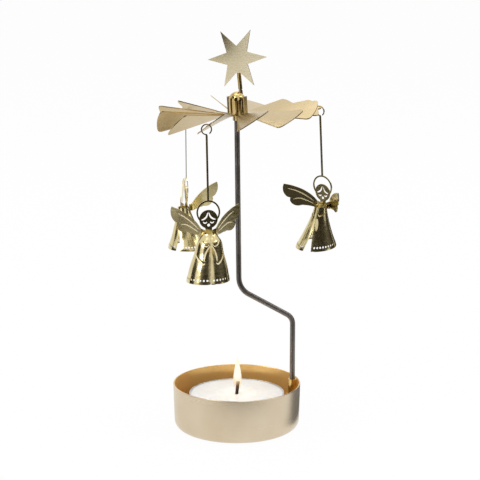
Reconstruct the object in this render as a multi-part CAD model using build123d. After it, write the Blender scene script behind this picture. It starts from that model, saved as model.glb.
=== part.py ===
"""Angel chime carousel.

A drawn brass cup holds one tealight. A bent steel wire stands in a clip on the cup's inner
wall, and its top end is ground to a needle. A bladed brass rotor hangs on that needle by a
bell-shaped cap, with a star above it, and three sheet-brass angels hang from the rotor's
ears. The warm air of the flame turns the rotor.

Millimetres, +Z up. The origin is the centre of the cup's foot. +X is to the right and -Y
towards the viewer. Each piece is one solid in parts/NAME.step.
"""
import os
from math import atan2, cos, degrees, radians, sin, sqrt, tan
from typing import NamedTuple

from build123d import *

# Cup: drawn from one brass disc, a little wider at the rim than at the foot
cup_diameter = 50.8
cup_height = 17.9
cup_wall = 0.6
cup_floor = 0.7
cup_taper = 0.5
cup_foot_round = 3.2
cup_rim_round = 0.2

# Tealight: standard aluminium can, wax, cotton wick and its steel foot
can_diameter = 38.0
can_height = 12.9
can_wall = 0.25
can_lip = 0.3
can_foot_round = 0.8
can_seat_gap = 0.05
wax_below_lip = 0.35
wax_pool_diameter = 16.0
wax_pool_depth = 0.4
wick_diameter = 1.3
wick_showing = 5.2
wick_lean = 6.0
wick_bend_radius = 2.0
wick_foot_diameter = 12.0
wick_foot_thickness = 0.3
wick_collar_diameter = 2.6
wick_collar_height = 4.0

# Wire: one length of steel, bent twice, from the clip in the cup up to the needle
wire_diameter = 2.1
wire_leg_angle = 15.0
wire_foot_height = 8.0
wire_lower_corner_height = 43.0
wire_upper_corner_height = 56.2
wire_upper_corner_offset = 0.9
wire_lower_bend = 4.8
wire_upper_bend = 8.0
needle_tip_height = 133.2
needle_length = 3.2
needle_tip_diameter = 0.3

# Clip: brass sleeve brazed inside the cup, which takes the foot of the wire
clip_wall = 0.5
clip_floor = 0.8
clip_back = 0.2
clip_below_rim = 0.4
wire_slip = 0.05

# Cap: turned brass bell with a cone inside, which sits on the needle
cap_diameter = 6.5
cap_bore_diameter = 5.3
cap_rim_extra = 0.15
cap_rim_height = 0.6
cap_seat_gap = 0.05
cap_seat_thickness = 0.85
collar_diameter = 4.1
collar_bore_diameter = 3.5
collar_below = 2.2
collar_above = 0.8
collar_shoulder = 0.3
collar_shoulder_height = 0.5

# Rotor: one brass sheet, slit into blades that are twisted to catch the rising air
sheet_thickness = 0.4
sheet_below_needle = 7.7
blade_count = 12
first_blade_angle = 11.1
blade_root_radius = 4.8
blade_tip_radius = 31.5
blade_tip_chord = 14.8
# Each blade's pitch at its tip, and how far up its tip is bent, as a share of the usual bend.
# The first blade is the right one, and the others follow anticlockwise from above.
blade_pitches = (20.0, 22.0, 18.0, 42.0, 39.0, 36.0, 40.0, 35.0, 33.0, 29.0, 22.0, 23.0)
blade_bend = 1.0
blade_bend_shares = (0.2, -0.4, -0.2, 0.35, 0.0, 0.1, -0.85, -0.9, 0.0, 0.5, -0.3, 1.2)
blade_corner_round = 1.6
slit_width = 0.3
rotor_lean = 3.0
tab_width = 2.2
tab_height = 6.6
tab_gap = 0.15
blades_per_hook = 4
ear_hole_diameter = 1.8
ear_rim = 0.55
ear_reach = 0.2

# Star: cut sheet, fixed to the flat of a stem that is pressed into the cap
star_radius = 12.2
star_waist_radius = 4.75
star_thickness = 0.4
star_above_needle = 13.6
star_turn = 20.0
star_roll = 1.1
star_seat_gap = 0.02
star_foot_width = 2.2
star_foot_drop = 0.8
stem_diameter = 1.6
stem_offset = 1.65
stem_lean = 2.5
stem_press_depth = 1.1
stem_behind_star = 3.0
stem_groove_depth = 0.2
stem_groove_width = 0.4
stem_groove_height = 0.9

# Angel: one etched brass sheet from its hook down to its rolled skirt. A drop is measured down
# from the inner top of the hook ring, where it hangs, and each form follows the one above it.
angel_thickness = 0.3
hook_gap = 0.3
ring_radius = 1.55
ring_width = 0.55
ring_opening = 0.8
ring_opening_angle = 20.0
hanger_width = 0.75
halo_radius = 4.5
halo_width = 0.6
halo_drop = 32.3
head_radius = 3.5
head_below_halo = 2.6
neck_width = 2.6
shoulder_half_width = 2.7
shoulder_below_head = 3.3
chest_height = 3.2
wing_length = 13.4
wing_height = 10.4
wing_tip_above_shoulder = 7.2
# Wing outline: share of the length outwards and of the height downwards, from the tip's level
wing_tip_shares = (0.97, 0.0)
wing_leading_shares = (0.42, 0.27)
wing_outer_shares = (1.0, 0.33)
wing_notch_shares = (0.79, 0.57)
wing_lobe_shares = (0.68, 0.87)
wing_lobe_end_shares = (0.42, 0.88)
slot_width = 0.55
parting_above_head = 2.6
parting_height = 2.9
parting_half_width = 2.85
parting_sag_share = 0.75
eye_below_head = 0.8
eye_offset = 1.35
eye_width = 1.6
eye_depth = 0.55
mouth_below_head = 2.2
mouth_radius = 0.5
skirt_lap = 1.6
skirt_shoulder_height = 2.8
skirt_chest_height = 5.4
skirt_flare_height = 8.9
skirt_top_radius = 2.4
skirt_cuff_radius = 5.4
skirt_hem_radius = 8.0
skirt_top_forward = 2.3
skirt_hem_forward = 4.2
seam_top_width = 0.5
hand_below_shoulder = 2.8
hand_height = 4.2
hand_width = 1.2
hand_offset = 0.95
hand_tilt = 14.0
sleeve_slot_width = 0.35
sleeve_below_cuff = 0.4
sleeve_rise = 2.4
sleeve_inner = 1.5
sleeve_corner = 2.9
sleeve_outer = 4.6

# Each skirt as rolled: its shoulder, the sideways shift of its hem, its open seam, and how much
# higher than the front angel's its hem ended up
front_shoulder_radius = 4.5
front_hem_shift = -1.3
front_seam_width = 1.3
right_shoulder_radius = 3.2
right_hem_shift = -1.8
right_seam_width = 3.4
left_shoulder_radius = 3.3
left_hem_shift = 3.0
left_seam_width = 2.0
front_hem_rise = 0.0
right_hem_rise = 1.0
left_hem_rise = 1.2


class Bends(NamedTuple):
    """How one angel hangs and was bent by hand. Angles are in degrees, seen from above."""

    hook_blade: int
    turn: float
    head_turn: float
    lean_right: float
    lean_back: float
    left_wing_back: float
    right_wing_back: float
    shoulder_radius: float
    hem_shift: float
    seam_width: float
    hem_rise: float


angels = {
    "angel_right": Bends(
        0, -30.0, -8.0, 3.0, 8.0, -24.0, -44.0, right_shoulder_radius, right_hem_shift, right_seam_width, right_hem_rise
    ),
    "angel_left": Bends(
        1, -28.0, -51.0, 0.0, 2.0, 62.0, 64.0, left_shoulder_radius, left_hem_shift, left_seam_width, left_hem_rise
    ),
    "angel_front": Bends(
        2, 9.0, 5.0, 1.0, 0.0, 36.0, 36.0, front_shoulder_radius, front_hem_shift, front_seam_width, front_hem_rise
    ),
}

# The angel's heights, each from the form above it: halo, head, chest and wings, then the skirt
head_drop = halo_drop + head_below_halo
parting_drop = head_drop - parting_above_head
parting_end_drop = parting_drop + parting_height
eye_drop = head_drop + eye_below_head
mouth_drop = head_drop + mouth_below_head
shoulder_drop = head_drop + shoulder_below_head
wing_tip_drop = shoulder_drop - wing_tip_above_shoulder
chest_drop = shoulder_drop + chest_height
skirt_top_drop = chest_drop - skirt_lap
skirt_shoulder_drop = skirt_top_drop + skirt_shoulder_height
skirt_cuff_drop = skirt_shoulder_drop + skirt_chest_height
skirt_hem_drop = skirt_cuff_drop + skirt_flare_height
hand_drop = skirt_shoulder_drop + hand_below_shoulder
sleeve_drop = skirt_cuff_drop + sleeve_below_cuff

# Every cut runs this far past the faces it opens
overrun = 3.0


def turned(points, rounds=()):
    """A solid of revolution from (radius, height) corners, some of them rounded."""
    outline = make_face(Polyline(*points, close=True))
    for corner, radius in rounds:
        nearest = outline.vertices().sort_by_distance((*corner, 0))[0]
        outline = fillet(nearest, radius)
    return revolve(Plane.XZ * outline, Axis.Z)


def cup_profile_radius(height):
    """The outer radius of the cup's straight wall at a height."""
    return cup_diameter / 2 - cup_taper * (1 - height / cup_height)


def cup_inner_radius(height):
    return cup_profile_radius(height) - cup_wall


def cup():
    foot = cup_profile_radius(0)
    rim = cup_diameter / 2
    inner_foot = (cup_inner_radius(cup_floor), cup_floor)
    return turned(
        [(0, 0), (foot, 0), (rim, cup_height), (rim - cup_wall, cup_height), inner_foot, (0, cup_floor)],
        [
            ((foot, 0), cup_foot_round),
            (inner_foot, cup_foot_round - cup_wall),
            ((rim, cup_height), cup_rim_round),
            ((rim - cup_wall, cup_height), cup_rim_round),
        ],
    )


def cup_hollow():
    """The space inside the cup, which the clip is shaped to."""
    inner_foot = (cup_inner_radius(cup_floor), cup_floor)
    inner_rim = (cup_inner_radius(cup_height), cup_height)
    return turned([(0, cup_floor), inner_foot, inner_rim, (0, cup_height)], [(inner_foot, cup_foot_round - cup_wall)])


wire_radius = wire_diameter / 2
leg_radius = cup_inner_radius(wire_foot_height) - clip_back - wire_slip - wire_radius
leg_x = leg_radius * cos(radians(wire_leg_angle))
leg_y = leg_radius * sin(radians(wire_leg_angle))


def upright_wire():
    """The leg, the slanted run and the spindle, whose ground needle ends over the cup's centre."""
    spindle_rise = needle_tip_height - wire_upper_corner_height
    lean = atan2(wire_upper_corner_offset, spindle_rise)
    path = FilletPolyline(
        (leg_x, leg_y, wire_foot_height),
        (leg_x, leg_y, wire_lower_corner_height),
        (wire_upper_corner_offset, 0, wire_upper_corner_height),
        (needle_length * sin(lean), 0, needle_tip_height - needle_length * cos(lean)),
        radius=[wire_lower_bend, wire_upper_bend],
    )
    rod = sweep(Pos(leg_x, leg_y, wire_foot_height) * Circle(wire_radius), path)
    needle = Pos(0, 0, -needle_length / 2) * Cone(wire_radius, needle_tip_diameter / 2, needle_length)
    return rod + Pos(0, 0, needle_tip_height) * Rot(0, -degrees(lean), 0) * needle


def wire_clip():
    bore = wire_radius + wire_slip
    outside = bore + clip_wall
    bottom = wire_foot_height - clip_floor
    height = cup_height - clip_below_rim - bottom
    lower = (Align.CENTER, Align.CENTER, Align.MIN)
    sleeve = Pos(leg_radius, 0, bottom) * Cylinder(outside, height, align=lower)
    web = Pos(leg_radius, 0, bottom) * Box(cup_diameter, 2 * outside, height, align=(Align.MIN, Align.CENTER, Align.MIN))
    hole = Pos(leg_radius, 0, wire_foot_height) * Cylinder(bore, cup_height, align=lower)
    clip = ((sleeve + web) & cup_hollow()) - hole
    return Rot(0, 0, wire_leg_angle) * clip


can_bottom = cup_floor + can_seat_gap
can_top = can_bottom + can_height
can_inner_radius = can_diameter / 2 - can_lip - can_wall
wax_bottom = can_bottom + can_wall
wax_top = can_top - wax_below_lip


def tealight_can():
    wall = can_diameter / 2 - can_lip
    lip = can_diameter / 2
    inner_foot = (can_inner_radius, wax_bottom)
    return turned(
        [
            (0, can_bottom),
            (wall, can_bottom),
            (wall, can_top - can_wall - can_lip),
            (lip, can_top - can_wall),
            (lip, can_top),
            (can_inner_radius, can_top),
            inner_foot,
            (0, wax_bottom),
        ],
        [((wall, can_bottom), can_foot_round), (inner_foot, can_foot_round - can_wall)],
    )


def wick():
    """The wick stands straight in the wax and leans over the flame's pool."""
    start = wax_bottom + wick_foot_thickness
    surface = wax_top - wax_pool_depth
    lean = radians(wick_lean)
    path = FilletPolyline(
        (0, 0, start),
        (0, 0, surface),
        (wick_showing * sin(lean), 0, surface + wick_showing * cos(lean)),
        radius=wick_bend_radius,
    )
    return sweep(Pos(0, 0, start) * Circle(wick_diameter / 2), path)


def wick_foot():
    """Pressed steel disc with a neck that grips the wick."""
    disc_top = wax_bottom + wick_foot_thickness
    neck_top = wax_bottom + wick_collar_height
    foot = turned(
        [
            (0, wax_bottom),
            (wick_foot_diameter / 2, wax_bottom),
            (wick_foot_diameter / 2, disc_top),
            (wick_collar_diameter / 2, disc_top),
            (wick_collar_diameter / 2, neck_top),
            (0, neck_top),
        ]
    )
    bore = Pos(0, 0, disc_top) * Cylinder(wick_diameter / 2, wick_collar_height, align=(Align.CENTER, Align.CENTER, Align.MIN))
    return foot - bore


def wax(wick_solid, foot_solid):
    """Cast wax, with the shallow pool that forms round a lit wick."""
    body = turned(
        [(0, wax_bottom), (can_inner_radius, wax_bottom), (can_inner_radius, wax_top), (0, wax_top)],
        [((can_inner_radius, wax_bottom), can_foot_round - can_wall)],
    )
    pool_radius = ((wax_pool_diameter / 2) ** 2 + wax_pool_depth**2) / (2 * wax_pool_depth)
    pool = Pos(0, 0, wax_top - wax_pool_depth + pool_radius) * Sphere(pool_radius)
    return body - pool - foot_solid - wick_solid


sheet_height = needle_tip_height - sheet_below_needle
sheet_top = sheet_height + sheet_thickness / 2
sheet_bottom = sheet_height - sheet_thickness / 2
cap_radius = cap_diameter / 2
cap_apex = needle_tip_height + cap_seat_gap
cap_top = cap_apex + cap_seat_thickness
star_centre_height = needle_tip_height + star_above_needle


def stem_hole():
    """The stem's own cylinder, leaning, from its press-in depth up past the star."""
    length = star_centre_height
    shaft = Cylinder(stem_diameter / 2, length, align=(Align.CENTER, Align.CENTER, Align.MIN))
    return Pos(stem_offset, 0, stem_bottom) * Rot(0, -stem_lean, 0) * shaft


def dome_height(offset):
    """Height of the cap's dome at a distance from its axis."""
    return cap_top - cap_radius + sqrt(cap_radius**2 - offset**2)


stem_bottom = dome_height(stem_offset) - stem_press_depth


def bearing_cap():
    """Bell with a domed top, a small rim, a bore and the cone that rides on the needle."""
    shoulder = cap_top - cap_radius
    rim = cap_radius + cap_rim_extra
    barrel = turned(
        [
            (0, sheet_top),
            (rim, sheet_top),
            (rim, sheet_top + cap_rim_height),
            (cap_radius, sheet_top + cap_rim_height),
            (cap_radius, shoulder),
            (0, shoulder),
        ]
    )
    dome = Pos(0, 0, shoulder) * Sphere(cap_radius)
    keep = Pos(0, 0, shoulder) * Cylinder(cap_radius, cap_diameter, align=(Align.CENTER, Align.CENTER, Align.MIN))
    bore_radius = cap_bore_diameter / 2
    hollow = turned(
        [(0, sheet_bottom), (bore_radius, sheet_bottom), (bore_radius, shoulder), (0, cap_apex)],
    )
    return barrel + (dome & keep) - hollow - stem_hole()


def cap_collar():
    """Bush swaged through the sheet, which ties the cap to the rotor."""
    outside = collar_diameter / 2
    shoulder = outside + collar_shoulder
    inside = collar_bore_diameter / 2
    return turned(
        [
            (inside, sheet_bottom - collar_below),
            (outside, sheet_bottom - collar_below),
            (outside, sheet_bottom - collar_shoulder_height),
            (shoulder, sheet_bottom - collar_shoulder_height),
            (shoulder, sheet_bottom),
            (outside, sheet_bottom),
            (outside, sheet_top + collar_above),
            (inside, sheet_top + collar_above),
        ]
    )


blade_half_angle = 180 / blade_count
ear_radius = ear_hole_diameter / 2 + ear_rim
ear_centre = blade_tip_radius + ear_reach


def blade_edge(number, radius):
    """At a radius of one blade: plan half width, rise of its side edge, and rise of its middle."""
    root_half = blade_root_radius * sin(radians(blade_half_angle)) - slit_width / 2
    along = (radius - blade_root_radius) / (blade_tip_radius - blade_root_radius)
    pitch = radians(blade_pitches[number])
    tip_half = blade_tip_chord / 2 * cos(pitch)
    half_width = root_half + (tip_half - root_half) * along
    middle = blade_bend * blade_bend_shares[number] * along
    return half_width, blade_tip_chord / 2 * sin(pitch) * along, middle


def twisted_sheet(number):
    """Sheet ruled from the flat root to the pitched tip, wider and longer than one blade."""
    sections = []
    reach = ear_centre + ear_radius + overrun
    for radius in (blade_root_radius, reach):
        half_width, rise, middle = blade_edge(number, radius)
        lower = middle - sheet_thickness / 2
        upper = middle + sheet_thickness / 2
        widen = 2
        corners = [
            (radius, -widen * half_width, lower - widen * rise),
            (radius, widen * half_width, lower + widen * rise),
            (radius, widen * half_width, upper + widen * rise),
            (radius, -widen * half_width, upper - widen * rise),
        ]
        sections.append(make_face(Polyline(*corners, close=True)))
    return loft(sections, ruled=True)


def blade(number):
    """One blade along +X: the twisted sheet trimmed to its plan outline, some with an ear."""
    with_ear = number % blades_per_hook == 0
    root_half = blade_edge(number, blade_root_radius)[0]
    tip_x = blade_tip_radius * cos(radians(blade_half_angle))
    tip_half = blade_edge(number, tip_x)[0]
    sides = Polyline(
        (tip_x, -tip_half),
        (blade_root_radius, -root_half),
        (blade_root_radius, root_half),
        (tip_x, tip_half),
    )
    end = ThreePointArc((tip_x, tip_half), (blade_tip_radius, 0), (tip_x, -tip_half))
    outline = make_face([sides, end])
    outline = fillet(outline.vertices().group_by(Axis.X)[-1], blade_corner_round)
    if with_ear:
        outline = outline + Pos(ear_centre, 0) * Circle(ear_radius)
    depth = blade_tip_radius
    prism = Pos(0, 0, -depth) * extrude(outline, 2 * depth)
    result = twisted_sheet(number) & prism
    if with_ear:
        result = result - Pos(ear_centre, 0, 0) * Cylinder(ear_hole_diameter / 2, depth)
    return result


def rotor_sheet():
    """Flat hub, twisted blades, and two tabs folded up beside the cap out of their windows."""
    hub_outline = Rot(0, 0, first_blade_angle + blade_half_angle) * RegularPolygon(
        blade_root_radius, blade_count, major_radius=False
    )
    hub = Pos(0, 0, -sheet_thickness / 2) * extrude(hub_outline, sheet_thickness)
    blades = []
    for number in range(blade_count):
        turn = first_blade_angle + number * 360 / blade_count
        blades.append(Rot(0, 0, turn) * blade(number))
    rotor = hub.fuse(*blades) - Cylinder(collar_diameter / 2, overrun)
    tab_inner = cap_radius + cap_rim_extra + tab_gap
    tab_side = first_blade_angle - blade_half_angle - 360 / blade_count
    lower = (Align.MIN, Align.CENTER, Align.MIN)
    for side in (tab_side, tab_side + 180):
        window = Box(tab_height, tab_width + slit_width, 2 * overrun, align=lower)
        tab = Box(sheet_thickness, tab_width, tab_height + sheet_thickness, align=lower)
        rotor = rotor - Rot(0, 0, side) * Pos(tab_inner + sheet_thickness, 0, -overrun) * window
        rotor = rotor + Rot(0, 0, side) * Pos(tab_inner, 0, -sheet_thickness / 2) * tab
    return Pos(0, 0, sheet_height) * rotor


def on_stem(piece):
    """Moves a piece built about the star's centre to its place on the leaning stem."""
    rise = star_centre_height - stem_bottom
    side = stem_offset - rise * tan(radians(stem_lean))
    return Pos(side, 0, star_centre_height) * Rot(0, 0, -star_turn) * piece


def star():
    points = []
    for number in range(12):
        radius = star_radius if number % 2 == 0 else star_waist_radius
        turn = radians(30 * number + star_roll)
        points.append((radius * cos(turn), radius * sin(turn)))
    outline = make_face(Polyline(*points, close=True))
    foot_top = star_waist_radius * cos(radians(30))
    foot_height = star_waist_radius - foot_top + star_foot_drop
    foot = Pos(0, -foot_top) * Rectangle(star_foot_width, foot_height, align=(Align.CENTER, Align.MAX))
    plate = extrude(Plane.XZ * (outline + foot), star_thickness)
    return on_stem(plate)


def star_stem(star_solid):
    """Stem with a turned groove near its foot and a flat where the star is soldered."""
    top = star_centre_height - star_waist_radius + stem_behind_star
    length = (top - stem_bottom) / cos(radians(stem_lean))
    half = stem_diameter / 2
    groove = stem_press_depth + stem_groove_height
    shaft = turned(
        [
            (0, 0),
            (half, 0),
            (half, groove),
            (half - stem_groove_depth, groove),
            (half - stem_groove_depth, groove + stem_groove_width),
            (half, groove + stem_groove_width),
            (half, length),
            (0, length),
        ]
    )
    shaft = Pos(stem_offset, 0, stem_bottom) * Rot(0, -stem_lean, 0) * shaft
    front = Pos(0, star_seat_gap - stem_diameter, 0) * Box(
        star_radius, 2 * stem_diameter, star_radius, align=(Align.CENTER, Align.CENTER, Align.MIN)
    )
    cut_start = -star_waist_radius - star_foot_drop
    return shaft - on_stem(Pos(0, 0, cut_start) * front)


def leaned(piece):
    """The rotor hangs a little out of level on the needle: its right side is the higher."""
    return Pos(0, 0, needle_tip_height) * Rot(0, -rotor_lean, 0) * Pos(0, 0, -needle_tip_height) * piece


def hook_angle(bends):
    return first_blade_angle + bends.hook_blade * blades_per_hook * 360 / blade_count


def outward_line(bends):
    """Unit vector along the hook ring's own plane, pointing away from the rotor."""
    turn = radians(bends.turn + bends.head_turn)
    outward = radians(hook_angle(bends))
    along = (cos(turn), sin(turn))
    if along[0] * cos(outward) + along[1] * sin(outward) < 0:
        along = (-along[0], -along[1])
    return along


def hook_point(bends):
    """Inner top of an angel's hook ring, over the rim of its ear."""
    outward = radians(hook_angle(bends))
    along = outward_line(bends)
    reach = ear_hole_diameter / 2 + ear_rim / 2
    x = ear_centre * cos(outward) + reach * along[0]
    y = ear_centre * sin(outward) + reach * along[1]
    radial = x * cos(outward) + y * sin(outward)
    sideways = y * cos(outward) - x * sin(outward)
    number = bends.hook_blade * blades_per_hook
    half_width, rise, middle = blade_edge(number, radial)
    surface = sheet_height + middle + sideways * rise / half_width
    above = sheet_thickness / (2 * cos(radians(blade_pitches[number]))) + hook_gap
    lean = radians(rotor_lean)
    drop = surface + above - needle_tip_height
    return (
        x * cos(lean) - drop * sin(lean),
        y,
        needle_tip_height + x * sin(lean) + drop * cos(lean),
    )


def upright_plate(outline):
    """A flat sheet of the angel's thickness, standing in the XZ plane."""
    half = angel_thickness / 2
    return Pos(0, half, 0) * extrude(Plane.XZ * outline, angel_thickness)


def hook_and_hanger():
    outside = ring_radius + ring_width
    ring = Pos(0, -ring_radius) * (Circle(outside) - Circle(ring_radius))
    opening = Pos(0, -ring_radius) * Rot(0, 0, ring_opening_angle - 90) * Rectangle(
        outside + ring_width, ring_opening, align=(Align.MIN, Align.CENTER)
    )
    top = ring_radius + outside - ring_width / 2
    bottom = halo_drop - halo_radius + halo_width / 2
    hanger = Pos(0, -top) * Rectangle(hanger_width, bottom - top, align=(Align.CENTER, Align.MAX))
    return ring - opening + hanger


def face_slots():
    """Hair parting, two closed eyes and a small open mouth, cut through the head."""
    cuts = Pos(0, -mouth_drop) * Circle(mouth_radius)
    for side in (-1, 1):
        sag = (parting_end_drop - parting_drop) * parting_sag_share
        parting = ThreePointArc(
            (0, -parting_drop),
            (side * parting_half_width / 2, -parting_drop - sag),
            (side * parting_half_width, -parting_end_drop),
        )
        cuts = cuts + trace(parting, slot_width)
        lid = ThreePointArc(
            (side * eye_offset - eye_width / 2, -eye_drop),
            (side * eye_offset, -eye_drop - eye_depth),
            (side * eye_offset + eye_width / 2, -eye_drop),
        )
        cuts = cuts + trace(lid, slot_width)
    return cuts


def head_outline():
    """Everything in the plane of the hook: ring, hanger, halo, head and neck."""
    halo = Pos(0, -halo_drop) * (Circle(halo_radius) - Circle(halo_radius - halo_width))
    head = Pos(0, -head_drop) * Circle(head_radius)
    neck = Pos(0, -head_drop) * Rectangle(neck_width, chest_drop - head_drop, align=(Align.CENTER, Align.MAX))
    return hook_and_hanger() + halo + head + neck - face_slots()


def chest_outline():
    return Pos(0, -shoulder_drop) * Rectangle(
        2 * shoulder_half_width, chest_drop - shoulder_drop, align=(Align.CENTER, Align.MAX)
    )


def wing_point(shares):
    outwards, downwards = shares
    return (wing_length * outwards, -wing_tip_drop - wing_height * downwards)


def wing_outline():
    """A two-lobed wing, rooted on the Y axis and pointing along +X."""
    root_top = (0, -shoulder_drop)
    root_bottom = (0, -wing_tip_drop - wing_height)
    tip = wing_point(wing_tip_shares)
    notch = wing_point(wing_notch_shares)
    lobe_end = wing_point(wing_lobe_end_shares)
    leading = ThreePointArc(root_top, wing_point(wing_leading_shares), tip)
    outer_lobe = ThreePointArc(tip, wing_point(wing_outer_shares), notch)
    lower_lobe = ThreePointArc(notch, wing_point(wing_lobe_shares), lobe_end)
    trailing = Polyline(lobe_end, root_bottom, root_top)
    return make_face([leading, outer_lobe, lower_lobe, trailing])


def skirt_body(bends, inset):
    """Solid of the skirt's rings, smaller by an inset and then longer at both ends."""
    profile = [
        (skirt_top_drop, skirt_top_radius),
        (skirt_shoulder_drop, bends.shoulder_radius),
        (skirt_cuff_drop, skirt_cuff_radius),
        (skirt_hem_drop - bends.hem_rise, skirt_hem_radius),
    ]
    rings = []
    for drop, radius in profile:
        along = (drop - skirt_top_drop) / (skirt_hem_drop - skirt_top_drop)
        forward = skirt_top_forward + (skirt_hem_forward - skirt_top_forward) * along
        rings.append(Pos(bends.hem_shift * along, -forward, -drop) * Circle(radius - inset))
    if inset:
        rings.insert(0, Pos(0, 0, overrun) * rings[0])
        rings.append(Pos(0, 0, -overrun) * rings[-1])
    return loft(rings, ruled=True)


def skirt(bends):
    """The sheet rolled into a skirt, whose two front edges meet at the praying hands."""
    shell = skirt_body(bends, 0) - skirt_body(bends, angel_thickness)
    middle = bends.hem_shift / 2
    seam = Polyline(
        (-seam_top_width / 2, -skirt_top_drop + overrun),
        (seam_top_width / 2, -skirt_top_drop + overrun),
        (middle + seam_top_width / 2, -sleeve_drop),
        (bends.hem_shift + bends.seam_width / 2, -skirt_hem_drop - overrun),
        (bends.hem_shift - bends.seam_width / 2, -skirt_hem_drop - overrun),
        (middle - seam_top_width / 2, -sleeve_drop),
        close=True,
    )
    slots = Pos(middle, 0) * hand_and_sleeve_slots()
    front = extrude(Plane.XZ * (make_face(seam) + slots), skirt_hem_radius + skirt_hem_forward)
    return shell - Pos(0, -skirt_top_forward, 0) * front


def hand_and_sleeve_slots():
    """Two leaf-shaped hands beside the seam, and the lower edge of each sleeve."""
    cuts = Sketch()
    for side in (-1, 1):
        half = hand_height / 2
        leaf = make_face(
            [
                ThreePointArc((0, -half), (hand_width / 2, 0), (0, half)),
                ThreePointArc((0, half), (-hand_width / 2, 0), (0, -half)),
            ]
        )
        cuts = cuts + Pos(side * hand_offset, -hand_drop) * Rot(0, 0, side * hand_tilt) * leaf
        edge = Polyline(
            (side * sleeve_inner, -sleeve_drop),
            (side * sleeve_corner, -sleeve_drop - sleeve_slot_width),
            (side * sleeve_outer, -sleeve_drop + sleeve_rise),
        )
        cuts = cuts + trace(edge, sleeve_slot_width)
    return cuts


def angel(bends):
    """One etched sheet, hung by its ring, with its wings and head bent as this one's are."""
    head = Rot(0, 0, bends.head_turn) * upright_plate(head_outline())
    wing = upright_plate(wing_outline())
    right_wing = Pos(shoulder_half_width, 0, 0) * Rot(0, 0, bends.right_wing_back) * wing
    left_wing = Pos(-shoulder_half_width, 0, 0) * Rot(0, 0, -bends.left_wing_back) * mirror(wing, Plane.YZ)
    figure = upright_plate(chest_outline()).fuse(head, skirt(bends), right_wing, left_wing)
    hang = Rot(0, -bends.lean_right, 0) * Rot(bends.lean_back, 0, 0)
    return Pos(*hook_point(bends)) * hang * Rot(0, 0, bends.turn) * figure


def main():
    os.makedirs("parts", exist_ok=True)
    wick_solid = wick()
    foot_solid = wick_foot()
    star_solid = star()
    parts = {
        "cup": cup(),
        "upright_wire": upright_wire(),
        "wire_clip": wire_clip(),
        "tealight_can": tealight_can(),
        "wax": wax(wick_solid, foot_solid),
        "wick": wick_solid,
        "wick_foot": foot_solid,
        "rotor_sheet": leaned(rotor_sheet()),
        "bearing_cap": leaned(bearing_cap()),
        "cap_collar": leaned(cap_collar()),
        "star": leaned(star_solid),
        "star_stem": leaned(star_stem(star_solid)),
    }
    for name, bends in angels.items():
        parts[name] = angel(bends)
        place = ", ".join(f"{value:.3f}" for value in hook_point(bends))
        print(f"{name} hangs at ({place}), blade angle {hook_angle(bends):.1f}")
    for name, piece in parts.items():
        export_step(piece, f"parts/{name}.step")


main()
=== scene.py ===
from math import asin, cos, degrees, pi, radians, sin, sqrt

import bmesh
import bpy
from mathutils import Matrix, Vector


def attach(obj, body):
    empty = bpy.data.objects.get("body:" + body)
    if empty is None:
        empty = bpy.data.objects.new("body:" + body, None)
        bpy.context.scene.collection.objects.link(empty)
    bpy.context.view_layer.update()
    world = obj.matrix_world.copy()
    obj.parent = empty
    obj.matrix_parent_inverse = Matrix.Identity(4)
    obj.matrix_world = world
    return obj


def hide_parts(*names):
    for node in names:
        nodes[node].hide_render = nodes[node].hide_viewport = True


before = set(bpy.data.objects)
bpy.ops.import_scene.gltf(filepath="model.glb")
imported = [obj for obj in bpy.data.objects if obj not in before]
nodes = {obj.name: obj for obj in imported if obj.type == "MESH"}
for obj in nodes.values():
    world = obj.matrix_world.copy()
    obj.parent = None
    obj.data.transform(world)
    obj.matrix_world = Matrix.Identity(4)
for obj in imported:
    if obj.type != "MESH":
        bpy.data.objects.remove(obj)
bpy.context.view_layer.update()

# Cup: drawn from one brass disc, with a rounded foot. Outside it is brushed round on a lathe and
# lacquered, so it shines softly. Inside, the flame's warm light on the brass is painted in as a
# deeper gold.

# One millimetre in the scene's metres
MM = 0.001


def linear(code):
    """An sRGB hex colour as Blender's linear colour."""
    parts = [int(code[at:at + 2], 16) / 255 for at in (1, 3, 5)]
    levels = [p / 12.92 if p <= 0.04045 else ((p + 0.055) / 1.055) ** 2.4 for p in parts]
    return (*levels, 1.0)


def add_node(material, kind, settings=None, **links):
    """Adds one node. Settings are its own properties, links are socket values or (node, output)."""
    node = material.node_tree.nodes.new(kind)
    for name, value in (settings or {}).items():
        setattr(node, name, value)
    for name, value in links.items():
        key = int(name[1:]) if name[0] == "_" else name.replace("_", " ")
        if isinstance(value, tuple) and isinstance(value[0], bpy.types.Node):
            material.node_tree.links.new(value[0].outputs[value[1]], node.inputs[key])
        else:
            node.inputs[key].default_value = value
    return node


def new_finish(name):
    """A new material and its shader."""
    material = bpy.data.materials.new(name)
    material.use_nodes = True
    return material, material.node_tree.nodes["Principled BSDF"]


def feed(material, shader, **links):
    """Joins outputs to the shader's own sockets."""
    for name, (node, output) in links.items():
        material.node_tree.links.new(node.outputs[output], shader.inputs[name.replace("_", " ")])


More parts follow.
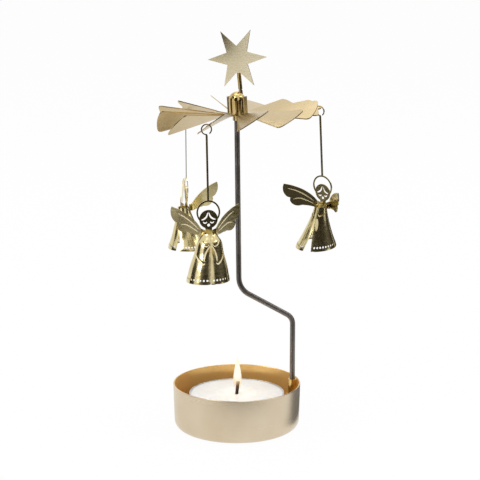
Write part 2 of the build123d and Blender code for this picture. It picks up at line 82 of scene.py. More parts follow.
def worked_metal(name, pale, deep, gloss, cloud_mm, grain_mm, bump_mm):
    """A metal, softly stained from deep to pale, whose grain has its own size along each axis."""
    material, shader = new_finish(name)
    shader.inputs["Metallic"].default_value = 1.0
    place = add_node(material, "ShaderNodeTexCoord")
    cloud = add_node(material, "ShaderNodeTexNoise", Vector=(place, "Object"),
                     Scale=1 / (cloud_mm * MM), Detail=4.0)
    tint = add_node(material, "ShaderNodeValToRGB", Fac=(cloud, "Fac"))
    tint.color_ramp.elements[0].position = 0.3
    tint.color_ramp.elements[0].color = linear(deep)
    tint.color_ramp.elements[1].position = 0.68
    tint.color_ramp.elements[1].color = linear(pale)
    stretch = add_node(material, "ShaderNodeMapping", Vector=(place, "Object"),
                       Scale=tuple(1 / (grain * MM) for grain in grain_mm))
    grain = add_node(material, "ShaderNodeTexNoise", Vector=(stretch, "Vector"),
                     Scale=1.0, Detail=3.0)
    rough = add_node(material, "ShaderNodeMapRange", Value=(grain, "Fac"),
                     From_Min=0.3, From_Max=0.7, To_Min=gloss[0], To_Max=gloss[1])
    bump = add_node(material, "ShaderNodeBump", Height=(grain, "Fac"),
                    Strength=0.5, Distance=bump_mm * MM)
    feed(material, shader, Base_Color=(tint, "Color"), Roughness=(rough, "Result"),
         Normal=(bump, "Normal"))
    return material, shader, tint, rough, place


def dress(node_name, material):
    """Gives a piece from the CAD its finish."""
    piece = nodes[node_name]
    piece.data.materials.clear()
    piece.data.materials.append(material)


# Brass brushed round under lacquer: pale, even and soft. Its rings are drawn 0.5 mm apart, since
# the real ones are too fine to show
cup_brass, cup_shader, cup_tint, cup_rough, cup_place = worked_metal(
    "lacquered_brass_brushed_round", pale="#dccdb4", deep="#d0bea0", gloss=(0.27, 0.31),
    cloud_mm=24.0, grain_mm=(60.0, 60.0, 0.5), bump_mm=0.0004)
# A wall that faces the cup's axis is its inside: smoother, only half metal so that it is lit evenly
# and doesn't mirror the tealight, and given a deeper gold, a painted glow that stands in for the
# flame's warm light on it
cup_point = add_node(cup_brass, "ShaderNodeVectorMath", {"operation": "MULTIPLY"},
                     _0=(cup_place, "Object"), _1=(1, 1, 0))
cup_out = add_node(cup_brass, "ShaderNodeVectorMath", {"operation": "NORMALIZE"},
                   _0=(cup_point, "Vector"))
cup_side = add_node(cup_brass, "ShaderNodeVectorMath", {"operation": "DOT_PRODUCT"},
                    _0=(cup_out, "Vector"), _1=(cup_place, "Normal"))
cup_inside = add_node(cup_brass, "ShaderNodeMapRange", Value=(cup_side, "Value"),
                      From_Min=0.3, From_Max=-0.3, To_Min=0.0, To_Max=1.0)
# Painted glow: the inside's deeper gold stands in for the flame's warm light on the wall
cup_tint_and_painted_glow = add_node(cup_brass, "ShaderNodeMix", {"data_type": "RGBA"},
                    _0=(cup_inside, "Result"), _6=(cup_tint, "Color"), _7=linear("#f0c47a"))
cup_polish = add_node(cup_brass, "ShaderNodeMix", {"data_type": "FLOAT"},
                      _0=(cup_inside, "Result"), _2=(cup_rough, "Result"), _3=0.24)
cup_metal = add_node(cup_brass, "ShaderNodeMapRange", Value=(cup_inside, "Result"),
                     To_Min=1.0, To_Max=0.5)
feed(cup_brass, cup_shader, Base_Color=(cup_tint_and_painted_glow, "Result"), Roughness=(cup_polish, "Result"),
     Metallic=(cup_metal, "Result"))
dress("cup", cup_brass)

# Clip: a bright brass sleeve with a web, brazed to the cup's inner wall on the right. The foot of
# the wire stands in it.

# Bright brass, brazed: it mirrors softly, and the heat left small darker stains
clip_brass = worked_metal(
    "bright_brass_brazed", pale="#f0d490", deep="#cfa95f", gloss=(0.14, 0.26),
    cloud_mm=2.0, grain_mm=(1.5, 1.5, 0.5), bump_mm=0.01)[0]
dress("wire_clip", clip_brass)

# Upright: one length of steel wire, bent twice and ground to a needle at its top, on which the
# rotor turns.

# Drawn steel, oiled: dark grey, with fine lines along it that draw the light out to a soft streak
wire_steel = worked_metal(
    "drawn_steel_wire_oiled", pale="#96918c", deep="#68635f", gloss=(0.34, 0.5),
    cloud_mm=9.0, grain_mm=(0.25, 0.25, 25.0), bump_mm=0.01)[0]
dress("upright_wire", wire_steel)

# Tealight: a pressed aluminium can holds cast white wax, and a cotton wick stands in it in a
# pressed steel foot. The can drops loose into the cup.

# Aluminium foil, pressed: bright pale grey, with pleats about 0.9 mm wide up its side
can_metal = worked_metal(
    "pressed_aluminium_foil", pale="#dfe0e0", deep="#c2c4c6", gloss=(0.22, 0.36),
    cloud_mm=3.0, grain_mm=(0.9, 0.9, 6.0), bump_mm=0.03)[0]
dress("tealight_can", can_metal)

# Tinned steel, pressed: a duller grey with no direction to its grain
foot_steel = worked_metal(
    "tinned_steel_pressed", pale="#c9c9c6", deep="#a9a9a6", gloss=(0.3, 0.45),
    cloud_mm=2.0, grain_mm=(0.5, 0.5, 0.5), bump_mm=0.01)[0]
dress("wick_foot", foot_steel)

# Paraffin wax, cast: light sinks a little way in, crystals 2 mm wide cloud it, and its surface is
# uneven where it has melted and set again
wax_white, wax_shader = new_finish("paraffin_wax_cast")
wax_place = add_node(wax_white, "ShaderNodeTexCoord")
wax_crystals = add_node(wax_white, "ShaderNodeTexNoise", Vector=(wax_place, "Object"),
                        Scale=1 / (2.0 * MM), Detail=5.0)
wax_tint = add_node(wax_white, "ShaderNodeValToRGB", Fac=(wax_crystals, "Fac"))
wax_tint.color_ramp.elements[0].position = 0.3
wax_tint.color_ramp.elements[0].color = linear("#ebebe8")
wax_tint.color_ramp.elements[1].position = 0.7
wax_tint.color_ramp.elements[1].color = linear("#f4f4f2")
wax_rough = add_node(wax_white, "ShaderNodeMapRange", Value=(wax_crystals, "Fac"),
                     To_Min=0.28, To_Max=0.5)
wax_bump = add_node(wax_white, "ShaderNodeBump", Height=(wax_crystals, "Fac"),
                    Strength=0.25, Distance=0.08 * MM)
feed(wax_white, wax_shader, Base_Color=(wax_tint, "Color"), Roughness=(wax_rough, "Result"),
     Normal=(wax_bump, "Normal"))
wax_shader.inputs["Subsurface Weight"].default_value = 0.35
wax_shader.inputs["Subsurface Radius"].default_value = (1.0, 0.8, 0.6)
wax_shader.inputs["Subsurface Scale"].default_value = 1.5 * MM
dress("wax", wax_white)

# Cotton, braided: quite matt, with plaits 0.5 mm wide. The flame has charred it black, but for a
# scorched reddish foot
wick_cotton, wick_shader = new_finish("cotton_wick_braided_charred")
wick_place = add_node(wick_cotton, "ShaderNodeTexCoord")
wick_braid = add_node(wick_cotton, "ShaderNodeTexVoronoi", Vector=(wick_place, "Object"),
                      Scale=1 / (0.5 * MM))
wick_height = add_node(wick_cotton, "ShaderNodeSeparateXYZ", Vector=(wick_place, "Object"))
wick_char = add_node(wick_cotton, "ShaderNodeMapRange", Value=(wick_height, "Z"),
                     From_Min=12.0 * MM, From_Max=13.6 * MM)
wick_tint = add_node(wick_cotton, "ShaderNodeValToRGB", Fac=(wick_char, "Result"))
wick_tint.color_ramp.elements[0].color = linear("#9a6648")
wick_tint.color_ramp.elements[1].color = linear("#1c1512")
wick_rough = add_node(wick_cotton, "ShaderNodeMapRange", Value=(wick_braid, "Distance"),
                      To_Min=0.75, To_Max=0.95)
wick_bump = add_node(wick_cotton, "ShaderNodeBump", Height=(wick_braid, "Distance"),
                     Strength=0.8, Distance=0.1 * MM)
feed(wick_cotton, wick_shader, Base_Color=(wick_tint, "Color"), Roughness=(wick_rough, "Result"),
     Normal=(wick_bump, "Normal"))
dress("wick", wick_cotton)

# Flame: a still teardrop, 14.4 mm tall, that stands on the wick and leans a little to the right. It
# moves with the tealight, and a small lamp in it lights the wax and the cup.


def new_piece(name, shape, material, body):
    """A bmesh in millimetres becomes a piece of the object and rides on its body."""
    mesh = bpy.data.meshes.new(name)
    bmesh.ops.scale(shape, vec=(MM, MM, MM), verts=shape.verts)
    shape.to_mesh(mesh)
    shape.free()
    mesh.materials.append(material)
    piece = bpy.data.objects.new(name, mesh)
    bpy.context.scene.collection.objects.link(piece)
    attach(piece, body)
    return piece


flame_foot = 14.0
flame_height = 14.4
# Radius and height of its outline
flame_outline = ((0.0, 14.0), (0.75, 14.4), (1.3, 15.4), (1.7, 17.2), (1.8, 18.8), (1.62, 21.0),
                 (1.2, 23.6), (0.65, 26.2), (0.25, 27.7), (0.0, 28.4))

# Burning wax vapour: it glows a dull orange round the wick and a pale warm yellow above, where the
# soot burns, and it is clearer at its edge and at its foot
flame_gas, flame_shader = new_finish("burning_wax_vapour")
flame_place = add_node(flame_gas, "ShaderNodeTexCoord")
flame_rise = add_node(flame_gas, "ShaderNodeSeparateXYZ", Vector=(flame_place, "Object"))
flame_share = add_node(flame_gas, "ShaderNodeMapRange", Value=(flame_rise, "Z"),
                       From_Min=flame_foot * MM, From_Max=28.5 * MM)
flame_tint = add_node(flame_gas, "ShaderNodeValToRGB", Fac=(flame_share, "Result"))
flame_tint.color_ramp.elements[0].color = linear("#8d5a3c")
flame_tint.color_ramp.elements[1].color = linear("#f9efbe")
for stop, colour in ((0.14, "#c9803f"), (0.26, "#f6cf8c"), (0.4, "#fff9e6"), (0.75, "#fffbe4")):
    flame_tint.color_ramp.elements.new(stop).color = linear(colour)
flame_edge = add_node(flame_gas, "ShaderNodeLayerWeight", Blend=0.35)
flame_clear = add_node(flame_gas, "ShaderNodeMapRange", Value=(flame_edge, "Facing"),
                       From_Min=0.0, From_Max=0.9, To_Min=0.95, To_Max=0.1)
flame_low = add_node(flame_gas, "ShaderNodeMapRange", Value=(flame_share, "Result"),
                     From_Min=0.18, From_Max=0.46, To_Min=0.12, To_Max=1.0)
flame_alpha = add_node(flame_gas, "ShaderNodeMath", {"operation": "MULTIPLY"},
                       _0=(flame_clear, "Result"), _1=(flame_low, "Result"))
feed(flame_gas, flame_shader, Emission_Color=(flame_tint, "Color"), Alpha=(flame_alpha, "Value"))
flame_shader.inputs["Base Color"].default_value = (0, 0, 0, 1)
flame_shader.inputs["Emission Strength"].default_value = 1.15
flame_shader.inputs["Specular IOR Level"].default_value = 0.0

flame_shape = bmesh.new()
flame_verts = [flame_shape.verts.new((radius, 0, height)) for radius, height in flame_outline]
for lower, upper in zip(flame_verts, flame_verts[1:]):
    flame_shape.edges.new((lower, upper))
bmesh.ops.spin(flame_shape, geom=flame_shape.verts[:] + flame_shape.edges[:], cent=(0, 0, 0),
               axis=(0, 0, 1), angle=2 * pi, steps=32, use_merge=True)
bmesh.ops.remove_doubles(flame_shape, verts=flame_shape.verts, dist=0.001)
# It leans a little and wavers on its way up
for vert in flame_shape.verts:
    rise = (vert.co.z - flame_foot) / flame_height
    vert.co.x += 0.45 * rise + 0.12 * sin(5 * rise)
bmesh.ops.recalc_face_normals(flame_shape, faces=flame_shape.faces)
for face in flame_shape.faces:
    face.smooth = True
flame = new_piece("flame", flame_shape, flame_gas, "tealight")
flame_round = flame.modifiers.new("round", "SUBSURF")
flame_round.levels = 1
flame_round.render_levels = 1

glow_lamp = bpy.data.lights.new("flame_glow", "POINT")
glow_lamp.energy = 0.0018
glow_lamp.color = linear("#ffe4bd")[:3]
glow_lamp.shadow_soft_size = 3.5 * MM
glow = bpy.data.objects.new("flame_glow", glow_lamp)
glow.location = (0.5 * MM, 0, 22.0 * MM)
bpy.context.scene.collection.objects.link(glow)
glow.parent = flame
glow.visible_camera = False

# Bearing: a turned brass bell rides on the needle, a bush ties it to the rotor, and the star's
# stem is pressed into its top.

# Brass, turned and polished: a warm mirror, with a hint of the lathe's rings 0.3 mm apart
cap_brass = worked_metal(
    "brass_turned_polished", pale="#dcc48e", deep="#c0a468", gloss=(0.06, 0.15),
    cloud_mm=4.0, grain_mm=(6.0, 6.0, 0.3), bump_mm=0.002)[0]
for cap_part in ("bearing_cap", "cap_collar", "star_stem"):
    dress(cap_part, cap_brass)

# Rotor: one brass sheet, slit into twelve blades that are twisted by hand, with two tabs folded up
# beside the bell.

# Satin brass sheet: a soft even gold with the fine straight grain that rolling left in it
rotor_brass = worked_metal(
    "satin_brass_sheet_rolled", pale="#cdb98f", deep="#bfa97c", gloss=(0.27, 0.33),
    cloud_mm=24.0, grain_mm=(9.0, 0.5, 9.0), bump_mm=0.0005)[0]
dress("rotor_sheet", rotor_brass)

# Star: six points, cut in one piece from thin brass sheet. It stands upright above the rotor, with
# its foot soldered to the flat of the stem.

# Satin brass sheet, paler than the rotor's, with its rolling grain lying level
star_brass = worked_metal(
    "satin_brass_sheet_pale", pale="#f4e8c8", deep="#e0d1aa", gloss=(0.24, 0.28),
    cloud_mm=16.0, grain_mm=(12.0, 12.0, 0.5), bump_mm=0.0003)[0]
dress("star", star_brass)

# Angels: each is one etched brass sheet from its hook ring down to its skirt. The head, the wings
# and the skirt were bent and rolled by hand, a little differently on each. Sizes are in
# millimetres, and a drop is measured down from the point that the angel hangs from.

# Brass, etched and polished: a warm mirror, softened by handling
angel_brass = worked_metal(
    "etched_brass_polished", pale="#ded0a2", deep="#c8b985", gloss=(0.13, 0.2),
    cloud_mm=5.0, grain_mm=(3.0, 3.0, 0.6), bump_mm=0.0005)[0]
# An etched line is matt and pale, so it is drawn as only part metal
vein_brass, vein_shader = worked_metal(
    "etched_brass_line_matt", pale="#f0e4bf", deep="#e0d0a0", gloss=(0.45, 0.6),
    cloud_mm=2.0, grain_mm=(0.4, 0.4, 0.4), bump_mm=0.01)[:2]
vein_shader.inputs["Metallic"].default_value = 0.3

angel_gauge = 0.3
ring_drop = 1.55
ring_outside = 2.1
ring_inside = 1.66
halo_drop = 32.3
halo_outside = 4.5
halo_inside = 3.9
head_drop = 34.9
head_radius = 3.5
mouth_drop = 37.1
mouth_radius = 0.55
chest_drop = 41.4
neck_twist_height = 2.8
shoulder_half_width = 2.7
wing_length = 13.4
vein_width = 0.45
vein_proud = 0.2
skirt_top_drop = 39.8
skirt_hem_drop = 56.9
skirt_hem_radius = 8.0
skirt_top_forward = 2.3
skirt_hem_forward = 4.2
seam_closed_to = 48.4
seam_half_gap = 0.03
skirt_line_proud = 0.19
hole_count = 36
hole_above_hem = 1.3


def arc(drop, radius, start, end, steps):
    """Points on a circle round the middle line, in degrees anticlockwise from +X."""
    turns = [radians(start + (end - start) * step / steps) for step in range(steps + 1)]
    return [(radius * cos(turn), -drop + radius * sin(turn)) for turn in turns]


def smooth_line(points, steps=6):
    """More points on a smooth line through a few."""
    line = []
    padded = [points[0], *points, points[-1]]
    for at in range(len(points) - 1):
        before, first, second, after = (Vector(p) for p in padded[at:at + 4])
        for step in range(steps):
            t = step / steps
            line.append(0.5 * (
                2 * first + (second - before) * t
                + (2 * before - 5 * first + 4 * second - after) * t * t
                + (3 * first - before - 3 * second + after) * t ** 3))
    return [tuple(p) for p in line] + [points[-1]]


def strip(points, width):
    """A closed outline along a line, pointed at its two ends."""
    line = [Vector(p) for p in smooth_line(points)]
    left, right = [], []
    for at in range(1, len(line) - 1):
        along = (line[at + 1] - line[at - 1]).normalized()
        taper = sqrt(sin(pi * at / (len(line) - 1)))
        side = Vector((-along.y, along.x)) * width * taper / 2
        left.append(line[at] + side)
        right.append(line[at] - side)
    return [tuple(p) for p in [line[0], *left, line[-1], *reversed(right)]]


def cut_sheet(edges, spacing):
    """A flat sheet cut to an outline and its holes, with enough lines across it to bend smoothly."""
    flat = bpy.data.curves.new("flat", "CURVE")
    flat.dimensions = "2D"
    flat.fill_mode = "BOTH"
    for edge in edges:
        spline = flat.splines.new("POLY")
        spline.points.add(len(edge) - 1)
        spline.use_cyclic_u = True
        for knot, (x, y) in zip(spline.points, edge):
            knot.co = (x, y, 0, 1)
    carrier = bpy.data.objects.new("flat", flat)
    mesh = bpy.data.meshes.new_from_object(carrier)
    sheet = bmesh.new()
    sheet.from_mesh(mesh)
    bpy.data.objects.remove(carrier)
    bpy.data.curves.remove(flat)
    bpy.data.meshes.remove(mesh)
    bmesh.ops.remove_doubles(sheet, verts=sheet.verts, dist=0.002)
    for axis in (0, 1):
        low = min(vert.co[axis] for vert in sheet.verts)
        high = max(vert.co[axis] for vert in sheet.verts)
        direction = Vector((1 - axis, axis, 0))
        for step in range(1, int((high - low) / spacing[axis])):
            bmesh.ops.bisect_plane(
                sheet, geom=sheet.verts[:] + sheet.edges[:] + sheet.faces[:], dist=0.0005,
                plane_co=direction * (low + step * spacing[axis]), plane_no=direction)
    return sheet


def add_sheet(figure, sheet, material_index=0):
    """Puts a bent sheet in with the rest of the figure."""
    for face in sheet.faces:
        face.material_index = material_index
    mesh = bpy.data.meshes.new("part")
    sheet.to_mesh(mesh)
    sheet.free()
    figure.from_mesh(mesh)
    bpy.data.meshes.remove(mesh)


def hook_ring():
    """The ring, whose opening is beside its lowest point."""
    return (arc(ring_drop, ring_outside, -56, 276, 40)
            + arc(ring_drop, ring_inside, 276, -56, 40))


def hanger():
    """The long narrow strip from the ring down to the halo, with a corner nipped at its top."""
    return [(-0.375, -3.6), (0.3, -3.6), (0.375, -3.8), (0.375, -27.82), (-0.375, -27.82)]


def head_edges():
    """Halo and head in one outline, with the gap between them, the parting, the eyes and the mouth."""
    outer = arc(halo_drop, halo_outside, -39.1, 219.1, 48)
    outer += arc(head_drop, head_radius, 183.9, 248.5, 14)
    outer += [(-1.25, -38.9), (-1.3, -chest_drop), (1.3, -chest_drop), (1.25, -38.9)]
    outer += arc(head_drop, head_radius, -68.5, -3.9, 14)
    gap = arc(halo_drop, halo_inside, -28.6, 208.6, 40)
    gap += arc(head_drop, head_radius, 167.9, 12.1, 30)
    edges = [outer, gap, arc(mouth_drop, mouth_radius, 0, 345, 18)]
    for side in (-1, 1):
        hair = [(side * 0.12, -32.3), (side * 0.75, -33.9), (side * 1.7, -34.75), (side * 2.75, -35.1)]
        lid = [(side * 0.6, -35.85), (side * 1.0, -36.25), (side * 1.6, -36.25), (side * 2.1, -35.8)]
        edges += [strip(hair, 0.62), strip(lid, 0.5)]
    return edges


def wing_edge():
    """A two-lobed wing pointing along +X from its root on the shoulder."""
    leading = smooth_line([(0, -38.4), (2.2, -36.0), (5.6, -33.6), (9.6, -31.9), (13.0, -31.0)])
    outer = smooth_line([(13.0, -31.0), (13.45, -32.6), (13.2, -34.6), (12.0, -36.3), (10.6, -36.9)])
    lower = smooth_line([(10.6, -36.9), (10.75, -38.2), (9.7, -39.7), (7.9, -40.4), (5.6, -40.15)])
    root = smooth_line([(5.6, -40.15), (3.0, -40.6), (0, -chest_drop)])
    return leading + outer[1:] + lower[1:] + root[1:]


wing_veins = (
    [(1.0, -38.8), (4.0, -36.4), (7.6, -34.3), (11.6, -32.9)],
    [(1.2, -39.8), (4.2, -38.2), (6.8, -37.3), (9.4, -37.6)],
)


def bend_wing(sheet, side, back):
    """Bends a wing back or forward at its root, and curls it a little more towards its tip."""
    start = radians(back)
    bent = radians(8.0 if back > 0 else -6.0) / wing_length
    for vert in sheet.verts:
        reach = max(vert.co.x, 0.0)
        x = (sin(start + bent * reach) - sin(start)) / bent
        y = (cos(start) - cos(start + bent * reach)) / bent
        vert.co = Vector((side * (shoulder_half_width + x), y - vert.co.z, vert.co.y))
    if side < 0:
        bmesh.ops.reverse_faces(sheet, faces=sheet.faces)


def skirt_radius(drop, profile):
    """The rolled skirt's radius at a drop, smooth through its profile."""
    at = max(1, min(len(profile) - 3, sum(drop > place[0] for place in profile) - 1))
    first, second = profile[at], profile[at + 1]
    width = second[0] - first[0]
    start = (second[1] - profile[at - 1][1]) / (second[0] - profile[at - 1][0]) * width
    end = (profile[at + 2][1] - first[1]) / (profile[at + 2][0] - first[0]) * width
    t = (drop - first[0]) / width
    return ((2 * t ** 3 - 3 * t * t + 1) * first[1] + (t ** 3 - 2 * t * t + t) * start
            + (3 * t * t - 2 * t ** 3) * second[1] + (t ** 3 - t * t) * end)


def thickened(figure, name):
    """The bent sheet with the wall of its real gauge."""
    bmesh.ops.recalc_face_normals(figure, faces=figure.faces)
    raw = bpy.data.meshes.new(name)
    figure.to_mesh(raw)
    figure.free()
    carrier = bpy.data.objects.new(name + "_flat", raw)
    bpy.context.scene.collection.objects.link(carrier)
    wall = carrier.modifiers.new("thickness", "SOLIDIFY")
    wall.thickness = angel_gauge
    wall.offset = 0
    wall.use_even_offset = False
    graph = bpy.context.evaluated_depsgraph_get()
    thick = bpy.data.meshes.new_from_object(carrier.evaluated_get(graph))
    bpy.data.objects.remove(carrier)
    walled = bmesh.new()
    walled.from_mesh(thick)
    bpy.data.meshes.remove(thick)
    return walled


def etched_angel(name, hook, turn, head_turn, lean_right, lean_back, wings_back, girth,
                 hem_shift, seam, hem_rise, cuffs):
    """One angel as it was bent. Turns and leans are in degrees. The girth is the skirt's radius at
    the shoulder, the elbow and the knee, and the seam is how wide its front edges stand open at the
    hem. Only an angel that faces the front has its cuffs and raised lines etched."""
    wings = ((-1, wings_back[0]), (1, wings_back[1]))
    figure = bmesh.new()
    for edges, spacing in (([hook_ring()], (9.0, 9.0)), ([hanger()], (9.0, 6.0)),
                           (head_edges(), (1.2, 1.2))):
        sheet = cut_sheet(edges, spacing)
        for vert in sheet.verts:
            share = min(max((vert.co.y + chest_drop) / neck_twist_height, 0.0), 1.0)
            twist = Matrix.Rotation(radians(head_turn) * share, 3, "Z")
            vert.co = twist @ Vector((vert.co.x, 0, vert.co.y))
        add_sheet(figure, sheet)
    for side, back in wings:
        shoulder = [(side * 1.3, -39.0), (side * shoulder_half_width, -38.4),
                    (side * shoulder_half_width, -chest_drop), (side * 1.3, -chest_drop)]
        sheet = cut_sheet([shoulder], (0.7, 0.7))
        for vert in sheet.verts:
            vert.co = Vector((vert.co.x, 0, vert.co.y))
        add_sheet(figure, sheet)
        sheet = cut_sheet([wing_edge()], (1.1, 1.1))
        bend_wing(sheet, side, back)
        add_sheet(figure, sheet)

    # The skirt is cut flat, in degrees round it from its back and in ninths of a millimetre down
    # it, so that both are about as long on the skirt. The profile's two end points are off it
    flat_scale = 9
    hem = skirt_hem_drop - hem_rise
    profile = [(36.0, 1.6), (skirt_top_drop, 2.3), (42.6, girth[0]), (47.0, girth[1]),
               (51.5, girth[2]), (hem, skirt_hem_radius), (60.5, 9.2)]

    def edge_point(x, drop):
        """The place on the flat skirt of a point seen from the front, measured from the seam."""
        share = max(-0.999, min(0.999, x / skirt_radius(drop, profile)))
        back_half_turn = -180 if x > 0 else 180
        return degrees(asin(share)) + back_half_turn, -drop * flat_scale

    def from_front(points):
        return [edge_point(x, -y) for x, y in points]

    drops = [skirt_top_drop + (hem - skirt_top_drop) * step / 24 for step in range(25)]
    seam_right, seam_left = [], []
    for drop in drops:
        opened = max(0.0, (drop - seam_closed_to) / (hem - seam_closed_to))
        half = seam_half_gap + opened * (seam / 2 - seam_half_gap)
        seam_right.append(edge_point(half, drop))
        seam_left.append(edge_point(-half, drop))
    hem_edge = [(angle, -hem * flat_scale) for angle in range(-160, 161, 8)]
    top_edge = [(angle, -skirt_top_drop * flat_scale) for angle in range(160, -161, -8)]
    edges = [seam_right + hem_edge + seam_left[::-1] + top_edge]
    lines = []
    for side in (-1, 1):
        hand = [(side * 0.5, -43.9), (side * 1.0, -46.0), (side * 1.5, -48.6)]
        collar = [(side * 0.5, -42.3), (side * 1.3, -43.1), (side * 2.3, -42.6), (side * 2.75, -42.0)]
        edges += [from_front(strip(hand, 1.15)), from_front(strip(collar, 0.45))]
        if cuffs:
            cuff = [(side * 1.9, -48.9), (side * 2.7, -49.3), (side * 3.6, -48.4), (side * 4.7, -46.6)]
            edges.append(from_front(strip(cuff, 0.5)))
            for width, line in (
                (0.55, [(0.25, -43.4), (1.45, -45.3), (2.15, -47.3), (2.35, -49.0)]),
                (0.55, [(2.0, -49.5), (2.8, -49.95), (3.9, -49.0), (5.0, -46.9)]),
                (0.35, [(0.6, -43.0), (1.4, -43.75), (2.5, -43.3), (3.1, -42.3)]),
            ):
                lines.append(from_front(strip([(side * x, y) for x, y in line], width)))
    # The row of holes above the hem keeps clear of the seam. Rolled, each is round, 0.38 mm in radius
    clear_of_seam = seam_right[-1][0] + 180 + 4
    for number in range(hole_count):
        angle = -180 + clear_of_seam + (360 - 2 * clear_of_seam) * (number + 0.5) / hole_count
        level = -(hem - hole_above_hem) * flat_scale
        edges.append([(angle + 2.75 * cos(t * pi / 5), level + 3.4 * sin(t * pi / 5))
                      for t in range(10)])

    def roll(sheet, proud):
        """Rolls a flat sheet into the skirt, not quite round, or into a line that stands proud."""
        for vert in sheet.verts:
            drop = -vert.co.y / flat_scale
            around = radians(vert.co.x + 180)
            waver = 1 + 0.02 * sin(3 * around + girth[0])
            radius = skirt_radius(drop, profile) * waver + proud
            along = (drop - skirt_top_drop) / (hem - skirt_top_drop)
            forward = skirt_top_forward + (skirt_hem_forward - skirt_top_forward) * along
            x = hem_shift * along + radius * sin(around)
            vert.co = Vector((x, -forward - radius * cos(around), -drop))
        return sheet

    add_sheet(figure, roll(cut_sheet(edges, (4.0, 10.0)), 0.0))
    figure = thickened(figure, name)
    for side, back in wings:
        for vein in wing_veins:
            for front in (-1, 1):
                sheet = cut_sheet([strip(vein, vein_width)], (1.1, 1.1))
                for vert in sheet.verts:
                    vert.co.z = -front * vein_proud
                bend_wing(sheet, side, back)
                add_sheet(figure, sheet, 1)
    for line in lines:
        add_sheet(figure, roll(cut_sheet([line], (7.0, 10.0)), skirt_line_proud), 1)

    hang = Matrix.Rotation(radians(-lean_right), 4, "Y") @ Matrix.Rotation(radians(lean_back), 4, "X")
    place = Matrix.Translation(hook) @ hang @ Matrix.Rotation(radians(turn), 4, "Z")
    bmesh.ops.transform(figure, matrix=place, verts=figure.verts)
    for face in figure.faces:
        face.smooth = True
    for edge in figure.edges:
        edge.smooth = len(edge.link_faces) == 2 and edge.calc_face_angle(0) < radians(35)
    piece = new_piece(name + "_etched", figure, angel_brass, name)
    piece.data.materials.append(vein_brass)
    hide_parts(name)
    piece.modifiers.new("even_shading", "WEIGHTED_NORMAL").keep_sharp = True


etched_angel("angel_right", hook=(32.371, 5.380, 127.582), turn=-30, head_turn=-8, lean_right=3,
             lean_back=8, wings_back=(-24, -44), girth=(2.9, 4.3, 6.05), hem_shift=-1.8, seam=3.4,
             hem_rise=1.0, cuffs=False)
etched_angel("angel_left", hook=(-20.635, 25.041, 124.484), turn=-28, head_turn=-51, lean_right=0,
             lean_back=2, wings_back=(62, 64), girth=(2.9, 4.5, 6.1), hem_shift=3.0, seam=2.0,
             hem_rise=1.2, cuffs=False)
etched_angel("angel_front", hook=(-10.984, -30.275, 124.808), turn=9, head_turn=5, lean_right=1,
             lean_back=0, wings_back=(36, 36), girth=(4.3, 5.35, 6.75), hem_shift=-1.3, seam=0.08,
             hem_rise=0.0, cuffs=True)

# Studio: a white floor and a white surround, three soft boxes, and cards round the object, which
# only show in the metal, as a photographer uses them to give brass its shape.
scene = bpy.context.scene
scene.view_settings.view_transform = "Standard"

# White paper: the camera and the brass see it lit evenly, and it keeps the object's soft shadow
floor_paint, floor_shader = new_finish("white_paper_floor")
floor_shader.inputs["Base Color"].default_value = linear("#f4f4f4")
floor_shader.inputs["Roughness"].default_value = 0.8
floor_path = add_node(floor_paint, "ShaderNodeLightPath")
floor_ray = add_node(floor_paint, "ShaderNodeMath", {"operation": "MAXIMUM"},
                     _0=(floor_path, "Is Camera Ray"), _1=(floor_path, "Is Glossy Ray"))
floor_share = add_node(floor_paint, "ShaderNodeMath", {"operation": "MULTIPLY"},
                       _0=(floor_ray, "Value"), _1=0.96)
floor_light = add_node(floor_paint, "ShaderNodeEmission", Color=(1, 1, 1, 1), Strength=1.0)
floor_mix = add_node(floor_paint, "ShaderNodeMixShader", _0=(floor_share, "Value"),
                     _1=(floor_shader, "BSDF"), _2=(floor_light, "Emission"))
floor_surface = floor_paint.node_tree.nodes["Material Output"].inputs["Surface"]
floor_paint.node_tree.links.new(floor_mix.outputs[0], floor_surface)
floor_shape = bmesh.new()
bmesh.ops.create_grid(floor_shape, x_segments=1, y_segments=1, size=40.0)
floor_mesh = bpy.data.meshes.new("floor")
floor_shape.to_mesh(floor_mesh)
floor_shape.free()
floor_mesh.materials.append(floor_paint)
floor = bpy.data.objects.new("floor", floor_mesh)
scene.collection.objects.link(floor)

world = bpy.data.worlds.new("white_surround")
world.use_nodes = True
scene.world = world
sky = world.node_tree.nodes["Background"]
sky_path = add_node(world, "ShaderNodeLightPath")
sky_seen = add_node(world, "ShaderNodeMath", {"operation": "MAXIMUM"},
                    _0=(sky_path, "Is Camera Ray"), _1=(sky_path, "Is Glossy Ray"))
sky_both = add_node(world, "ShaderNodeMath", {"operation": "MAXIMUM"},
                    _0=(sky_seen, "Value"), _1=(sky_path, "Is Transmission Ray"))
sky_level = add_node(world, "ShaderNodeMapRange", Value=(sky_both, "Value"),
                     To_Min=0.55, To_Max=1.0)
world.node_tree.links.new(sky_level.outputs["Result"], sky.inputs["Strength"])
sky.inputs["Color"].default_value = (1, 1, 1, 1)

# Black card, matt: it turns the polished brass a dark olive where it shows in it
card_black, black_shader = new_finish("black_studio_card")
black_shader.inputs["Base Color"].default_value = linear("#34302a")
black_shader.inputs["Roughness"].default_value = 0.9
# Grey card, matt: a paler shade in the front angel's left wing and in the star
card_grey, grey_shader = new_finish("grey_studio_card")
grey_shader.inputs["Base Color"].default_value = linear("#5a5249")
grey_shader.inputs["Roughness"].default_value = 0.9
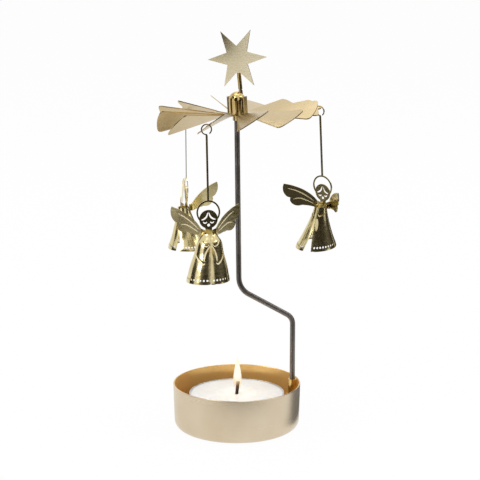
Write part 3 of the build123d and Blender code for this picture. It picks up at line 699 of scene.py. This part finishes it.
# A card that fades from white to grey across the floor, so that the cup darkens softly at its right
card_fading, fading_shader = new_finish("fading_studio_card")
fading_place = add_node(card_fading, "ShaderNodeTexCoord")
fading_across = add_node(card_fading, "ShaderNodeVectorMath", {"operation": "DOT_PRODUCT"},
                         _0=(fading_place, "Object"), _1=(-0.5, 0.866, 0))
fading_level = add_node(card_fading, "ShaderNodeMapRange", Value=(fading_across, "Value"),
                        From_Min=-31.0 * MM, From_Max=-20.0 * MM, To_Min=0.96, To_Max=0.2)
feed(card_fading, fading_shader, Emission_Strength=(fading_level, "Result"))
fading_shader.inputs["Base Color"].default_value = (0, 0, 0, 1)
fading_shader.inputs["Emission Color"].default_value = (1, 1, 1, 1)
fading_shader.inputs["Specular IOR Level"].default_value = 0.0


def studio_card(name, azimuth, distance, width, low, high, depth=0.0, paint=card_black):
    """A card that stands round the object and shows only in it. One with a depth lies flat."""
    shape = bmesh.new()
    bmesh.ops.create_grid(shape, x_segments=1, y_segments=1, size=0.5)
    round_it = Matrix.Rotation(radians(azimuth), 4, "Z")
    away = Matrix.Translation((0, -distance, (low + high) / 2))
    if depth:
        spread = Matrix.Diagonal((width, depth, 1, 1))
    else:
        spread = Matrix.Rotation(radians(90), 4, "X") @ Matrix.Diagonal((width, high - low, 1, 1))
    bmesh.ops.transform(shape, matrix=round_it @ away @ spread, verts=shape.verts)
    mesh = bpy.data.meshes.new(name)
    shape.to_mesh(mesh)
    shape.free()
    mesh.materials.append(paint)
    card = bpy.data.objects.new(name, mesh)
    scene.collection.objects.link(card)
    card.visible_camera = False
    card.visible_diffuse = False
    card.visible_shadow = False
    card.visible_transmission = False


# Azimuths are in degrees from the front, anticlockwise from above, and sizes in metres
studio_card("card_front", azimuth=17, distance=0.40, width=0.76, low=0.0, high=0.12)
studio_card("card_front_upper_left", azimuth=-15, distance=0.40, width=0.36, low=0.12, high=0.46)
studio_card("card_front_upper_right", azimuth=60, distance=0.40, width=0.36, low=0.12, high=0.46)
studio_card("card_front_left", azimuth=-50, distance=0.40, width=0.24, low=0.0, high=0.05,
            paint=card_grey)
studio_card("card_right", azimuth=100, distance=0.42, width=0.36, low=0.0, high=0.26)
studio_card("card_back_right", azimuth=142, distance=0.42, width=0.22, low=0.0, high=0.26)
studio_card("card_left", azimuth=-88, distance=0.42, width=0.26, low=0.0, high=0.26)
studio_card("card_low_front", azimuth=6, distance=0.285, width=0.52, low=0.001, high=0.001,
            depth=0.43)
studio_card("card_low_left", azimuth=-80, distance=0.30, width=0.20, low=0.001, high=0.001,
            depth=0.30)
studio_card("card_low_right", azimuth=90, distance=0.0656, width=0.11, low=0.0003, high=0.0003,
            depth=0.07, paint=card_fading)
studio_card("card_by_right_angel", azimuth=36, distance=0.111, width=0.06, low=0.04, high=0.15)
studio_card("card_star", azimuth=-66, distance=0.039, width=0.034, low=0.145, high=0.175)


def soft_box(name, place, size, power):
    """A lamp as wide as a soft box, turned towards the middle of the object."""
    lamp = bpy.data.lights.new(name, "AREA")
    lamp.shape = "RECTANGLE"
    lamp.size, lamp.size_y = size
    lamp.energy = power
    box = bpy.data.objects.new(name, lamp)
    box.location = place
    towards = Vector((0, 0, 0.08)) - Vector(place)
    box.rotation_euler = towards.to_track_quat("-Z", "Y").to_euler()
    scene.collection.objects.link(box)


soft_box("key_box", place=(-0.7, -0.6, 0.8), size=(0.6, 0.6), power=5.0)
soft_box("fill_box", place=(0.8, -0.2, 0.6), size=(0.5, 0.7), power=2.5)
soft_box("top_box", place=(0.0, 0.2, 1.1), size=(0.9, 0.9), power=4.0)

# The camera looks down at the angle that the ellipses of the cup and the rotor give
camera_data = bpy.data.cameras.new("camera")
camera_data.lens = 107.66
camera_data.sensor_width = 36.0
camera = bpy.data.objects.new("camera", camera_data)
camera.location = (0.0013, -0.552, 0.1883)
camera.rotation_euler = (radians(90 - 11.51), 0, 0)
scene.collection.objects.link(camera)
scene.camera = camera
